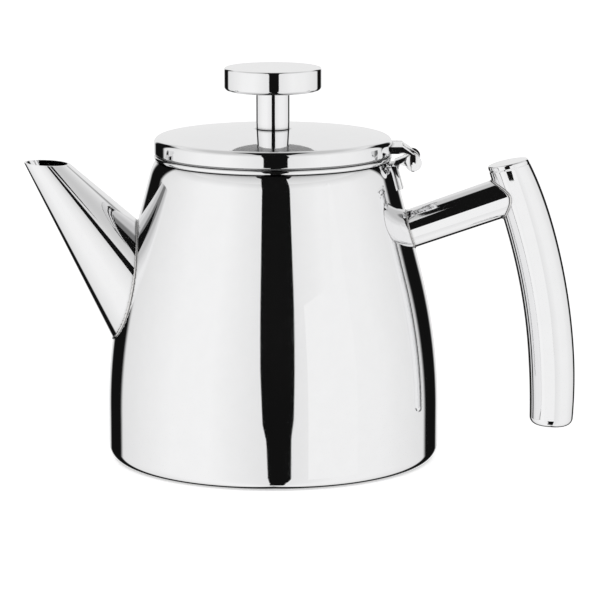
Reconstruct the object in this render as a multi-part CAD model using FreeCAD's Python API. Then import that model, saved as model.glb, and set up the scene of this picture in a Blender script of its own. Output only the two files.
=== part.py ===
"""Double-walled steel teapot with a hinged lid and a lift-out tea infuser.

Frame: origin at the centre of the base, +Z up, spout towards -X, handle towards +X.
All lengths are in millimetres and all angles in degrees.
"""
import os

import FreeCAD, Part
from math import acos, asin, cos, degrees, hypot, radians, sin, tan

# Body wall, from the base up: corner, straight, belly arc, taper, shoulder, neck
BODY_R = 58.7
CORNER_R = 4.5
BELLY_Z = 18.0
BELLY_R = 197.0
TAPER = 14.7
SHOULDER_Z = 102.0
SHOULDER_R = 14.3
NECK_ANGLE = 33.7
SHEET = 0.8
BASE_HOLE_R = 46.0

# Base plate, which lies on the shell's bottom flange
BASE_LAP_R = 51.0
BASE_STEP_R = 40.0
BASE_STEP_H = 1.2

# Inner liner: a floor disc, a wall, and a mouth ring with a rolled rim and the infuser's bead
WALL_GAP = 5.0
LINER_FLOOR_Z = 6.0
LINER_CORNER_R = 3.0
RING_LOW_Z = 93.0
RIM_R = 41.15
RIM_Z = 107.5
RIM_BEAD_R = 0.85
SEAT_Z = 97.2
SEAT_BEAD_R = 1.4
SEAT_INSET = 1.2
STRAINER_Z = 60.0
STRAINER_R = 13.5
STRAINER_HOLE_R = 1.5
STRAINER_PITCH = 5.2

# Spout: a leaning cone whose level sections are circles
SPOUT_APEX_X = -99.3
SPOUT_APEX_Z = 128.3
SPOUT_LEAN = 0.8305
SPOUT_SPREAD = 0.338
SPOUT_WALL = 0.9
SPOUT_LOW_Z = 30.0
LIP_X = -79.7
LIP_Z = 105.0
LIP_TILT = 2.86

# Handle: an arm that leaves the wall and a curved upright grip
ARM_START = (40.0, 78.48)
ARM_RISE = 19.15
ARM_LENGTH = 55.0
ARM_START_R = 6.8
ARM_END_R = 7.25
TUBE_WALL = 1.5
GRIP_BEND_R = 213.0
GRIP_X = 99.6
GRIP_BEND_Z = 22.0
GRIP_LOW_ANGLE = -2.3
GRIP_HIGH_ANGLE = 24.6
GRIP_R = 8.25
GRIP_TOP_LOSS = 2.0
GRIP_TOP_FROM = 0.5
GRIP_TOP_POWER = 4.5
GRIP_LOW_LOSS = 0.45
GRIP_LOW_TO = 0.25
GRIP_STATIONS = 8
CAP_CENTRE = (83.3, 105.5)
CAP_TILT = 12.4
CAP_THICK = 1.5
CAP_EDGE_R = 0.5
END_CAP_R = 3.0

# Lid
LID_R = 42.0
LID_RIM_Z = 108.9
LID_EDGE_Z = 114.7
LID_TOP_Z = 117.3
LID_CORNER_R = 2.2
LID_HEM_R = 0.4
PAN_R = 39.3
PAN_FLOOR_Z = 105.2
PAN_CORNER_R = 1.8
PAN_FLANGE_R = 41.2

# Hinge, whose axis runs along Y
HINGE_X = 49.3
HINGE_Z = 106.2
HINGE_HALF = 8.75
KNUCKLE_HALF = 3.5
KNUCKLE_GAP = 0.1
BRACKET_KNUCKLE_R = 2.4
LEAF_KNUCKLE_R = 2.5
PIN_R = 1.5
PIN_RUN = 0.05
PIN_HEAD_R = 3.1
PIN_HEAD_H = 0.7
LEAF_TOP_Z = 111.9
LEAF_LOW_Z = 109.4
LEAF_SLOPE = 35.0
LEAF_TIP_THICK = 1.2
LEAF_NOTCH_X = 45.7
STRAP_THICK = 1.4
STRAP_HALF = 7.0
STRAP_LOW_Z = 96.6
STRAP_HIGH_Z = 104.8
BRACKET_FOOT = (42.0, 103.2)
BRACKET_SHOULDER = (43.1, 106.2)
BRACKET_ARMPIT = (44.8, 104.7)
BRACKET_HEEL = (44.0, 102.5)
BRACKET_TOP_ANGLE = 128.0
BRACKET_LOW_ANGLE = 250.0

# Knob
STEM_R = 5.9
KNOB_R = 17.2
KNOB_LOW_Z = 130.9
KNOB_TOP_Z = 139.0
KNOB_TOP_EDGE_R = 0.7
KNOB_LOW_EDGE_R = 1.5
KNOB_INNER_EDGE_R = 0.1
KNOB_SHEET = 1.0
SCREW_R = 2.5
SCREW_DEPTH = 9.0
SCREW_HEAD_R = 4.5
SCREW_HEAD_TAPER = 1.0
SCREW_HEAD_H = 2.8
WASHER_R = 6.0
WASHER_H = 1.0
SOCKET_R = 1.5
SOCKET_DEPTH = 1.4

# Infuser
BASKET_R = 36.6
BASKET_SHEET = 0.5
BASKET_FLOOR_Z = 24.0
BASKET_FLOOR_H = 0.6
FLANGE_R = 39.3
COLLAR_H = 5.0
TAB_HALF = 6.0
TAB_RISE = 5.3
TAB_CORNER_R = 3.0
TAB_HOLE_R = 1.6

# Side of the blocks that cut ends off: longer than any piece that they cut
BLOCK = 120.0

UP = FreeCAD.Vector(0, 0, 1)
BELLY_CENTRE = (BODY_R - BELLY_R, BELLY_Z)


def at(point, y=0.0):
    """Point (x or radius, z) as a vector in the XZ plane, or in a plane parallel to it."""
    return FreeCAD.Vector(point[0], y, point[1])


def polar(centre, radius, angle):
    return (centre[0] + radius * cos(radians(angle)), centre[1] + radius * sin(radians(angle)))


def line(start, end):
    return Part.LineSegment(at(start), at(end)).toShape()


def arc(centre, radius, start, end):
    points = [at(polar(centre, radius, angle)) for angle in (start, (start + end) / 2, end)]
    return Part.Arc(*points).toShape()


def revolve(edges):
    return Part.Face(Part.Wire(edges)).revolve(FreeCAD.Vector(0, 0, 0), UP, 360)


def plate(points, half_width):
    """A closed outline in the XZ plane, thickened equally to both sides of it."""
    corners = [at(point, -half_width) for point in points]
    outline = Part.makePolygon(corners + corners[:1])
    return Part.Face(outline).extrude(FreeCAD.Vector(0, 2 * half_width, 0))


def ring(outer, inner, low, high):
    return Part.makeCylinder(outer, high - low, FreeCAD.Vector(0, 0, low)).cut(
        Part.makeCylinder(inner, high - low, FreeCAD.Vector(0, 0, low)))


def pin_along_y(radius, half, centre=(HINGE_X, HINGE_Z)):
    return Part.makeCylinder(radius, 2 * half, at(centre, -half), FreeCAD.Vector(0, 1, 0))


# Body wall geometry. An inset is measured inwards, square to the outer surface.

def taper_end(inset, length):
    start = polar(BELLY_CENTRE, BELLY_R - inset, TAPER)
    return polar(start, length, TAPER + 90)


def shoulder_start(inset):
    belly_end = polar(BELLY_CENTRE, BELLY_R, TAPER)
    return taper_end(inset, (SHOULDER_Z - belly_end[1]) / cos(radians(TAPER)))


SHOULDER_CENTRE = polar(shoulder_start(0), -SHOULDER_R, TAPER)


def neck(inset):
    return polar(SHOULDER_CENTRE, SHOULDER_R - inset, NECK_ANGLE)


LINER_NECK_R = neck(SHEET)[0]


def wall_edges(inset):
    """The wall's outline from the flat of the base up to the neck."""
    radius = BODY_R - inset
    belly_end = polar(BELLY_CENTRE, BELLY_R - inset, TAPER)
    return [
        arc((BODY_R - CORNER_R, CORNER_R), CORNER_R - inset, -90, 0),
        line((radius, CORNER_R), (radius, BELLY_Z)),
        arc(BELLY_CENTRE, BELLY_R - inset, 0, TAPER),
        line(belly_end, shoulder_start(inset)),
        arc(SHOULDER_CENTRE, SHOULDER_R - inset, TAPER, NECK_ANGLE),
    ]


def envelope(inset):
    """Everything inside the body wall at this inset, as one solid."""
    top = neck(inset)
    corner = (BODY_R - CORNER_R, inset)
    edges = [line((0, inset), corner)] + wall_edges(inset)
    edges += [line(top, (0, top[1])), line((0, top[1]), (0, inset))]
    return revolve(edges)


def liner_corner():
    """Centre of the rounded corner between the liner's wall and its floor."""
    return (BODY_R - WALL_GAP - LINER_CORNER_R, LINER_FLOOR_Z + LINER_CORNER_R)


def liner_edges(inset):
    """The liner's outline from the edge of its floor up to the level of its rolled rim."""
    extra = inset - WALL_GAP
    radius = BODY_R - inset
    corner = liner_corner()
    belly_end = polar(BELLY_CENTRE, BELLY_R - inset, TAPER)
    neck_r = LINER_NECK_R - extra
    neck_z = belly_end[1] + (belly_end[0] - neck_r) / tan(radians(TAPER))
    return [
        arc(corner, LINER_CORNER_R - extra, -90, 0),
        line((radius, corner[1]), (radius, BELLY_Z)),
        arc(BELLY_CENTRE, BELLY_R - inset, 0, TAPER),
        line(belly_end, (neck_r, neck_z)),
        line((neck_r, neck_z), (neck_r, RIM_Z)),
    ]


def spout_cone(inset):
    """The spout's leaning cone, from inside the body to above the lip."""
    circles = []
    for z in (SPOUT_LOW_Z, LIP_Z + 5):
        drop = SPOUT_APEX_Z - z
        centre = FreeCAD.Vector(SPOUT_APEX_X + SPOUT_LEAN * drop, 0, z)
        circles.append(Part.Wire(Part.makeCircle(SPOUT_SPREAD * drop - inset, centre, UP)))
    return Part.makeLoft(circles, True, True)


def build_body_shell():
    flange_low = (BASE_HOLE_R, 0)
    flange_high = (BASE_HOLE_R, SHEET)
    corner_x = BODY_R - CORNER_R
    edges = [line(flange_low, (corner_x, 0))] + wall_edges(0) + [line(neck(0), neck(SHEET))]
    edges += wall_edges(SHEET)[::-1] + [line((corner_x, SHEET), flange_high), line(flange_high, flange_low)]
    return revolve(edges).cut(spout_cone(SPOUT_WALL))


def build_base_plate():
    low = SHEET
    step_run = BASE_STEP_R + BASE_STEP_H
    lower = [(BASE_LAP_R, low), (step_run, low), (BASE_STEP_R, low + BASE_STEP_H),
             (0, low + BASE_STEP_H)]
    upper = [(x, z + SHEET) for x, z in reversed(lower)]
    points = lower + upper
    return revolve([line(a, b) for a, b in zip(points, points[1:] + points[:1])])


def strainer_holes():
    """Drills for a round patch of holes in staggered rows, facing the spout."""
    row_pitch = STRAINER_PITCH * cos(radians(30))
    rows = int(STRAINER_R / row_pitch)
    columns = int(STRAINER_R / STRAINER_PITCH) + 1
    drills = []
    for row in range(-rows, rows + 1):
        z = row * row_pitch
        shift = 0.5 * (row % 2)
        for column in range(-columns, columns + 1):
            y = (column + shift) * STRAINER_PITCH
            if hypot(y, z) + STRAINER_HOLE_R <= STRAINER_R:
                start = FreeCAD.Vector(-BODY_R, y, STRAINER_Z + z)
                drills.append(Part.makeCylinder(STRAINER_HOLE_R, BODY_R, start,
                                                FreeCAD.Vector(1, 0, 0)))
    return Part.makeCompound(drills)


def liner_wall():
    """The sheet of the liner's wall and neck, from the edge of the floor to the rim's level."""
    floor_r = liner_corner()[0]
    bottom = line((floor_r, LINER_FLOOR_Z), (floor_r, LINER_FLOOR_Z + SHEET))
    top = line((LINER_NECK_R, RIM_Z), (LINER_NECK_R - SHEET, RIM_Z))
    return revolve(liner_edges(WALL_GAP) + [top] + liner_edges(WALL_GAP + SHEET)[::-1] + [bottom])


def build_liner_floor():
    return Part.makeCylinder(liner_corner()[0], SHEET, FreeCAD.Vector(0, 0, LINER_FLOOR_Z))


def build_inner_liner():
    """Drawn wall of the vessel, from its floor to the mouth ring, with the strainer holes."""
    above = Part.makeCylinder(BODY_R, RIM_Z, FreeCAD.Vector(0, 0, RING_LOW_Z))
    return liner_wall().cut(above).cut(strainer_holes())


def build_mouth_ring():
    """Neck that joins the liner to the shell, with the rolled rim and the infuser's bead."""
    below = Part.makeCylinder(BODY_R, RING_LOW_Z)
    inner_r = LINER_NECK_R - SHEET
    rolled_edge = Part.makeTorus(RIM_R, RIM_BEAD_R, FreeCAD.Vector(0, 0, RIM_Z))
    rim = ring(RIM_R, inner_r, RIM_Z - RIM_BEAD_R, RIM_Z + RIM_BEAD_R)
    seat_r = inner_r - SEAT_INSET + SEAT_BEAD_R
    seat = Part.makeTorus(seat_r, SEAT_BEAD_R, FreeCAD.Vector(0, 0, SEAT_Z - SEAT_BEAD_R))
    seat = seat.common(Part.makeCylinder(LINER_NECK_R - SHEET / 2, RIM_Z))
    return liner_wall().cut(below).fuse([rolled_edge, rim, seat]).removeSplitter()


def build_spout():
    lip = Part.makeBox(BLOCK, BLOCK, BLOCK, FreeCAD.Vector(LIP_X - BLOCK / 2, -BLOCK / 2, LIP_Z))
    lip.rotate(FreeCAD.Vector(LIP_X, 0, LIP_Z), FreeCAD.Vector(0, 1, 0), LIP_TILT)
    return spout_cone(0).cut(spout_cone(SPOUT_WALL)).cut(lip).cut(envelope(0))


def build_spout_duct():
    """Sleeve that carries the spout's channel across the gap between the two walls."""
    sleeve = spout_cone(SPOUT_WALL).cut(spout_cone(SPOUT_WALL + SHEET))
    closing = [(LINER_NECK_R, RIM_Z), (0, RIM_Z), (0, LINER_FLOOR_Z), (liner_corner()[0], LINER_FLOOR_Z)]
    liner = revolve(liner_edges(WALL_GAP) + [line(a, b) for a, b in zip(closing, closing[1:])])
    return sleeve.common(envelope(0)).cut(liner)


def grip_radius(fraction):
    """Radius of the grip: full in the middle, drawn in towards both ends."""
    top = max(0.0, (fraction - GRIP_TOP_FROM) / (1 - GRIP_TOP_FROM))
    low = max(0.0, (GRIP_LOW_TO - fraction) / GRIP_LOW_TO)
    return GRIP_R - GRIP_TOP_LOSS * top ** GRIP_TOP_POWER - GRIP_LOW_LOSS * low ** 2


def grip_solid(inset):
    centre = (GRIP_X - GRIP_BEND_R, GRIP_BEND_Z)
    circles = []
    for station in range(GRIP_STATIONS):
        fraction = station / (GRIP_STATIONS - 1)
        angle = GRIP_LOW_ANGLE + fraction * (GRIP_HIGH_ANGLE - GRIP_LOW_ANGLE)
        along = at(polar((0, 0), 1, angle + 90))
        place = at(polar(centre, GRIP_BEND_R, angle))
        circles.append(Part.Wire(Part.makeCircle(grip_radius(fraction) - inset, place, along)))
    return Part.makeLoft(circles, True, False)


def above_cap(drop):
    """The half-space above the grip's sloping top face, lowered by drop."""
    block = Part.makeBox(BLOCK, BLOCK, BLOCK, FreeCAD.Vector(-BLOCK / 2, -BLOCK / 2, -drop))
    block.rotate(FreeCAD.Vector(0, 0, 0), FreeCAD.Vector(0, 1, 0), -CAP_TILT)
    block.translate(at(CAP_CENTRE))
    return block


def build_handle_grip():
    return grip_solid(0).cut(grip_solid(TUBE_WALL)).cut(above_cap(CAP_THICK))


def build_grip_top_cap():
    cap = grip_solid(0).common(above_cap(CAP_THICK)).cut(above_cap(0))
    flat = [face for face in cap.Faces if isinstance(face.Surface, Part.Plane)]
    top = max(flat, key=lambda face: face.CenterOfMass.z)
    return cap.makeFillet(CAP_EDGE_R, top.Edges)


def build_grip_bottom_cap():
    """Turned plug with a rounded edge, square to the end of the grip."""
    radius = grip_radius(0)
    edges = [
        line((0, 0), (radius, 0)),
        arc((radius - END_CAP_R, 0), END_CAP_R, 0, -90),
        line((radius - END_CAP_R, -END_CAP_R), (0, -END_CAP_R)),
        line((0, -END_CAP_R), (0, 0)),
    ]
    cap = revolve(edges)
    cap.rotate(FreeCAD.Vector(0, 0, 0), FreeCAD.Vector(0, 1, 0), -GRIP_LOW_ANGLE)
    cap.translate(at(polar((GRIP_X - GRIP_BEND_R, GRIP_BEND_Z), GRIP_BEND_R, GRIP_LOW_ANGLE)))
    return cap


def build_handle_arm():
    along = at(polar((0, 0), 1, ARM_RISE))
    start = at(ARM_START)
    outer = Part.makeCone(ARM_START_R, ARM_END_R, ARM_LENGTH, start, along)
    inner = Part.makeCone(ARM_START_R - TUBE_WALL, ARM_END_R - TUBE_WALL, ARM_LENGTH, start, along)
    tube = outer.cut(inner).cut(envelope(0))
    pieces = tube.cut(grip_solid(0)).Solids
    return min(pieces, key=lambda piece: piece.BoundBox.XMin)


def build_hinge_bracket():
    """Strap welded to the wall, with an arm that carries the middle knuckle."""
    axis = (HINGE_X, HINGE_Z)
    band = Part.makeBox(BLOCK, 2 * STRAP_HALF, STRAP_HIGH_Z - STRAP_LOW_Z,
                        FreeCAD.Vector(0, -STRAP_HALF, STRAP_LOW_Z))
    strap = envelope(-STRAP_THICK).common(band)
    arm = plate([BRACKET_FOOT, BRACKET_SHOULDER, polar(axis, BRACKET_KNUCKLE_R, BRACKET_TOP_ANGLE), axis,
                 polar(axis, BRACKET_KNUCKLE_R, BRACKET_LOW_ANGLE), BRACKET_ARMPIT, BRACKET_HEEL],
                KNUCKLE_HALF)
    knuckle = pin_along_y(BRACKET_KNUCKLE_R, KNUCKLE_HALF)
    bracket = strap.fuse([arm, knuckle]).cut(envelope(0))
    return bracket.cut(pin_along_y(PIN_R, KNUCKLE_HALF)).removeSplitter()


def build_hinge_pin():
    """Pin with a low domed head at each end."""
    dome_r = (PIN_HEAD_R ** 2 + PIN_HEAD_H ** 2) / (2 * PIN_HEAD_H)
    sink = dome_r - PIN_HEAD_H
    shank = pin_along_y(PIN_R, HINGE_HALF)
    heads = []
    for side in (-1, 1):
        centre = at((HINGE_X, HINGE_Z), side * (HINGE_HALF - sink))
        out = FreeCAD.Vector(0, side, 0)
        heads.append(Part.makeSphere(dome_r, centre, out, degrees(asin(sink / dome_r)), 90, 360))
    return shank.fuse(heads).removeSplitter()


def build_hinge_leaf():
    """Plate from the lid's skirt, thinned towards the two outer knuckles that it rolls into."""
    tangent = polar((HINGE_X, HINGE_Z), LEAF_KNUCKLE_R, 90 - LEAF_SLOPE)
    slope = tan(radians(LEAF_SLOPE))
    top_bend_x = tangent[0] - (LEAF_TOP_Z - tangent[1]) / slope
    low_end = polar(tangent, LEAF_TIP_THICK, 270 - LEAF_SLOPE)
    low_bend_x = low_end[0] - (LEAF_LOW_Z - low_end[1]) / slope
    leaf = plate([(0, LEAF_TOP_Z), (top_bend_x, LEAF_TOP_Z), tangent, low_end,
                  (low_bend_x, LEAF_LOW_Z), (0, LEAF_LOW_Z)], HINGE_HALF)
    knuckles = pin_along_y(LEAF_KNUCKLE_R, HINGE_HALF)
    middle = KNUCKLE_HALF + KNUCKLE_GAP
    notch = Part.makeBox(BLOCK, 2 * middle, BLOCK, FreeCAD.Vector(LEAF_NOTCH_X, -middle, 0))
    skirt = Part.makeCylinder(LID_R, LID_TOP_Z)
    return leaf.fuse(knuckles).cut(notch).cut(skirt).cut(pin_along_y(PIN_R + PIN_RUN, HINGE_HALF))


def dome(inset):
    """Centre and radius of the lid's domed top, in the XZ plane."""
    edge_r = LID_R - LID_CORNER_R
    rise = LID_TOP_Z - LID_EDGE_Z
    radius = (edge_r ** 2 + rise ** 2) / (2 * rise)
    return (0, LID_TOP_Z - radius), radius - inset


def lid_solid(inset):
    """Everything under the lid's surface at this inset, down to the hem."""
    centre, radius = dome(inset)
    side = LID_R - LID_CORNER_R
    reach = dome(0)[1] - LID_CORNER_R
    corner = (side, centre[1] + (reach ** 2 - side ** 2) ** 0.5)
    angle = degrees(acos(side / reach))
    edges = [
        line((0, LID_RIM_Z), (LID_R - inset, LID_RIM_Z)),
        line((LID_R - inset, LID_RIM_Z), (LID_R - inset, corner[1])),
        arc(corner, LID_CORNER_R - inset, 0, angle),
        arc(centre, radius, angle, 90),
        line((0, centre[1] + radius), (0, LID_RIM_Z)),
    ]
    return revolve(edges)


def build_lid_shell():
    """Domed sheet with a rounded corner and a short straight skirt, drilled for the screw."""
    return lid_solid(0).cut(lid_solid(SHEET)).cut(Part.makeCylinder(SCREW_R, LID_TOP_Z))


def build_lid_underside():
    """Closed pan under the lid: its flange rests on the rim and its collar sits in the mouth."""
    flange_z = RIM_Z + RIM_BEAD_R
    inner_r = PAN_R - SHEET
    corner = (PAN_R - PAN_CORNER_R, PAN_FLOOR_Z + PAN_CORNER_R)
    return revolve([
        line((0, PAN_FLOOR_Z), (corner[0], PAN_FLOOR_Z)),
        arc(corner, PAN_CORNER_R, -90, 0),
        line((PAN_R, corner[1]), (PAN_R, flange_z)),
        line((PAN_R, flange_z), (PAN_FLANGE_R, flange_z)),
        line((PAN_FLANGE_R, flange_z), (PAN_FLANGE_R, flange_z + SHEET)),
        line((PAN_FLANGE_R, flange_z + SHEET), (inner_r, flange_z + SHEET)),
        line((inner_r, flange_z + SHEET), (inner_r, corner[1])),
        arc(corner, PAN_CORNER_R - SHEET, 0, -90),
        line((corner[0], PAN_FLOOR_Z + SHEET), (0, PAN_FLOOR_Z + SHEET)),
        line((0, PAN_FLOOR_Z + SHEET), (0, PAN_FLOOR_Z)),
    ])


def build_knob_stem():
    """Turned post that stands on the dome, tapped from below for the knob screw."""
    post = Part.makeCylinder(STEM_R, KNOB_LOW_Z - LID_EDGE_Z, FreeCAD.Vector(0, 0, LID_EDGE_Z))
    return post.cut(lid_solid(0)).cut(Part.makeCylinder(SCREW_R, LID_TOP_Z + SCREW_DEPTH))


def knob_solid(inset):
    """The knob's disc, with a sharper edge above than below."""
    radius = KNOB_R - inset
    low = (radius - (KNOB_LOW_EDGE_R - inset), KNOB_LOW_Z + KNOB_LOW_EDGE_R)
    high_r = max(KNOB_TOP_EDGE_R - inset, KNOB_INNER_EDGE_R)
    top_z = KNOB_TOP_Z - inset
    high = (radius - high_r, top_z - high_r)
    return revolve([
        line((0, KNOB_LOW_Z + inset), (low[0], KNOB_LOW_Z + inset)),
        arc(low, KNOB_LOW_EDGE_R - inset, -90, 0),
        line((radius, low[1]), (radius, high[1])),
        arc(high, high_r, 0, 90),
        line((high[0], top_z), (0, top_z)),
        line((0, top_z), (0, KNOB_LOW_Z + inset)),
    ])


def build_knob_cap():
    """Drawn cap: the knob's top and side, open below over the floor's seam."""
    opening = Part.makeCylinder(KNOB_R - KNOB_LOW_EDGE_R, KNOB_LOW_EDGE_R,
                                FreeCAD.Vector(0, 0, KNOB_LOW_Z))
    return knob_solid(0).cut(knob_solid(KNOB_SHEET)).cut(opening)


def build_knob_floor():
    """Flat disc that closes the cap and is welded to the stem."""
    return Part.makeCylinder(KNOB_R - KNOB_LOW_EDGE_R, KNOB_SHEET,
                             FreeCAD.Vector(0, 0, KNOB_LOW_Z))


def washer_top():
    """Height at which a washer's edge meets the domed underside of the lid."""
    centre, radius = dome(SHEET)
    return centre[1] + (radius ** 2 - WASHER_R ** 2) ** 0.5


def build_knob_washer():
    top = washer_top()
    return ring(WASHER_R, SCREW_R, top - WASHER_H, top)


def build_knob_screw():
    """Button-headed screw up through the lid into the stem, with a hexagon socket."""
    head_top = washer_top() - WASHER_H
    head_low = head_top - SCREW_HEAD_H
    head = Part.makeCone(SCREW_HEAD_R - SCREW_HEAD_TAPER, SCREW_HEAD_R, SCREW_HEAD_H,
                         FreeCAD.Vector(0, 0, head_low))
    shank = Part.makeCylinder(SCREW_R, LID_TOP_Z + SCREW_DEPTH - head_top,
                              FreeCAD.Vector(0, 0, head_top))
    corners = [FreeCAD.Vector(SOCKET_R * cos(radians(60 * turn)), SOCKET_R * sin(radians(60 * turn)),
                              head_low) for turn in range(7)]
    socket = Part.Face(Part.makePolygon(corners)).extrude(UP * SOCKET_DEPTH)
    return head.fuse(shank).cut(socket).removeSplitter()


def build_infuser_basket():
    return ring(BASKET_R, BASKET_R - BASKET_SHEET, BASKET_FLOOR_Z, SEAT_Z)


def build_infuser_floor():
    return Part.makeCylinder(BASKET_R - BASKET_SHEET, BASKET_FLOOR_H,
                             FreeCAD.Vector(0, 0, BASKET_FLOOR_Z))


def build_infuser_rim():
    """Flange that hangs on the liner's bead, with a collar around the top of the basket."""
    flange = ring(FLANGE_R, BASKET_R - BASKET_SHEET, SEAT_Z, SEAT_Z + SHEET)
    collar = ring(BASKET_R + SHEET, BASKET_R, SEAT_Z - COLLAR_H, SEAT_Z)
    return flange.fuse(collar).removeSplitter()


def build_infuser_tabs():
    """Two pierced finger tabs that stand on the flange, one at each side."""
    low = SEAT_Z + SHEET
    tabs = []
    for side in (-1, 1):
        near = side * BASKET_R - SHEET / 2
        foot = FreeCAD.Vector(-TAB_HALF, near, low)
        tab = Part.makeBox(2 * TAB_HALF, SHEET, TAB_RISE, foot)
        tab = tab.makeFillet(TAB_CORNER_R, [edge for edge in tab.Edges if is_top_corner(edge, low)])
        centre = FreeCAD.Vector(0, near, low + TAB_RISE / 2)
        hole = Part.makeCylinder(TAB_HOLE_R, SHEET, centre, FreeCAD.Vector(0, 1, 0))
        tabs.append(tab.cut(hole))
    return Part.makeCompound(tabs)


def is_top_corner(edge, low):
    box = edge.BoundBox
    return box.ZMin > low + TAB_RISE / 2 and box.XLength < SHEET / 2


def build_all():
    return {
        "body_shell": build_body_shell(),
        "base_plate": build_base_plate(),
        "liner_floor": build_liner_floor(),
        "inner_liner": build_inner_liner(),
        "mouth_ring": build_mouth_ring(),
        "spout": build_spout(),
        "spout_duct": build_spout_duct(),
        "handle_grip": build_handle_grip(),
        "grip_top_cap": build_grip_top_cap(),
        "grip_bottom_cap": build_grip_bottom_cap(),
        "handle_arm": build_handle_arm(),
        "hinge_bracket": build_hinge_bracket(),
        "hinge_pin": build_hinge_pin(),
        "hinge_leaf": build_hinge_leaf(),
        "lid_shell": build_lid_shell(),
        "lid_underside": build_lid_underside(),
        "knob_stem": build_knob_stem(),
        "knob_cap": build_knob_cap(),
        "knob_floor": build_knob_floor(),
        "knob_washer": build_knob_washer(),
        "knob_screw": build_knob_screw(),
        "infuser_basket": build_infuser_basket(),
        "infuser_floor": build_infuser_floor(),
        "infuser_rim": build_infuser_rim(),
        "infuser_tabs": build_infuser_tabs(),
    }


os.makedirs("parts", exist_ok=True)
for node, shape in build_all().items():
    print(node, "valid" if shape.isValid() else "NOT VALID", round(shape.Volume, 1))
    shape.exportStep("parts/" + node + ".step")
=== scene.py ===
"""Looks of the infuser teapot: mirror-smooth steel shells, a finely perforated infuser and a studio.

Lengths are in millimetres until a mesh is made, where they become metres. Angles are in degrees.
"""

from math import cos, radians, sin, tan

import bmesh
import bpy
import numpy as np
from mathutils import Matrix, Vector


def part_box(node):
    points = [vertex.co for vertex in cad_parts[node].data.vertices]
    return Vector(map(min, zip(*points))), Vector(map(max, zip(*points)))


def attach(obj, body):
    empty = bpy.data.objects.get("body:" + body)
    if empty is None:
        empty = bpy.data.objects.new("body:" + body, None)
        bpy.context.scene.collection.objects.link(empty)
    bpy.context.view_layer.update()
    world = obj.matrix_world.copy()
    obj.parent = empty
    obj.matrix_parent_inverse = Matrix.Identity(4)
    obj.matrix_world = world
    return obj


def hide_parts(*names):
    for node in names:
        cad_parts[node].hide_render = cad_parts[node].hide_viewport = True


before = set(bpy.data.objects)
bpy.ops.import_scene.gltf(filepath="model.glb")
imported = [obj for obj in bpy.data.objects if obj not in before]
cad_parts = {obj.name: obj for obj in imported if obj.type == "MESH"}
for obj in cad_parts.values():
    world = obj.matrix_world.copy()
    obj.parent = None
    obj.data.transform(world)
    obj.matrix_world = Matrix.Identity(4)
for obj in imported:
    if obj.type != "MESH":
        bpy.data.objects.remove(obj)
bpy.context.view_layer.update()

MM = 0.001
TURNS = 240


def top_of(node):
    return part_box(node)[1] / MM


def bottom_of(node):
    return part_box(node)[0] / MM


# Body wall, as the CAD shell has it: corner, straight, belly arc, taper, shoulder, neck
SHEET = 0.8
BODY_R = top_of("body_shell").x
CORNER_R = 4.5
BELLY_Z = 18.0
BELLY_R = 197.0
TAPER = 14.7
SHOULDER_Z = 102.0
SHOULDER_R = 14.3
NECK_ANGLE = 33.7
BASE_HOLE_R = 46.0
BELLY_CENTRE = np.array([BODY_R - BELLY_R, BELLY_Z])

# Liner: a floor disc, a wall, and a mouth ring with a rolled rim and the infuser's bead
WALL_GAP = 5.0
LINER_FLOOR_Z = bottom_of("liner_floor").z
LINER_FLOOR_R = top_of("liner_floor").x
LINER_CORNER_R = 3.0
RING_LOW_Z = bottom_of("mouth_ring").z
RIM_BEAD_R = 0.85
RIM_Z = top_of("mouth_ring").z - RIM_BEAD_R
RIM_R = top_of("mouth_ring").x - RIM_BEAD_R
RIM_EDGE_R = 0.3
COLLAR_H = 5.0
SEAT_Z = bottom_of("infuser_rim").z + COLLAR_H
SEAT_BEAD_R = 1.4
SEAT_INSET = 1.2
STRAINER_Z = 60.0
STRAINER_R = 13.5
STRAINER_HOLE_R = 1.5
STRAINER_PITCH = 5.2
DRILL_START = 35
DRILL_END = 56

# Spout: a leaning cone whose level sections are circles
SPOUT_APEX = np.array([-99.3, 0.0, 128.3])
SPOUT_LEAN = 0.8305
SPOUT_SPREAD = 0.338
SPOUT_WALL = 0.9
LIP_X = -79.7
LIP_Z = 105.0
LIP_TILT = 2.86
BELOW_ROOT_Z = 30.0
CUTTER_LOW_Z = 31.0
CUTTER_HIGH_Z = 100.0

# Handle
ARM_START = np.array([40.0, 0.0, 78.48])
ARM_RISE = 19.15
ARM_LENGTH = 55.0
ARM_START_R = 6.8
ARM_END_R = 7.25
GRIP_BEND_R = 213.0
GRIP_CENTRE = np.array([99.6 - GRIP_BEND_R, 0.0, 22.0])
GRIP_LOW_ANGLE = -2.3
GRIP_HIGH_ANGLE = 24.6
GRIP_R = top_of("handle_grip").y
GRIP_TOP_LOSS = 2.0
GRIP_TOP_FROM = 0.5
GRIP_TOP_POWER = 4.5
GRIP_LOW_LOSS = 0.45
GRIP_LOW_TO = 0.25
CAP_CENTRE = np.array([83.3, 0.0, 105.5])
CAP_TILT = 12.4
CAP_THICK = 1.5
CAP_EDGE_R = 0.6
END_CAP_R = 3.0

# Lid and knob
LID_R = top_of("lid_shell").x
LID_RIM_Z = bottom_of("lid_shell").z
LID_EDGE_Z = 114.7
LID_TOP_Z = 117.3
LID_CORNER_R = 2.2
PAN_R = 39.3
PAN_FLOOR_Z = bottom_of("lid_underside").z
PAN_CORNER_R = 1.8
PAN_FLANGE_R = top_of("lid_underside").x
STEM_R = top_of("knob_stem").x
STEM_FOOT_R = 0.25
KNOB_R = top_of("knob_cap").x
KNOB_LOW_Z = bottom_of("knob_cap").z
KNOB_TOP_Z = top_of("knob_cap").z
KNOB_TOP_EDGE_R = 0.7
KNOB_LOW_EDGE_R = 1.5
KNOB_SHEET = 1
KNOB_HEM = 0.4
KNOB_HEM_FLARE = 0.05
KNOB_FLOOR_EDGE_R = 0.2

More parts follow.
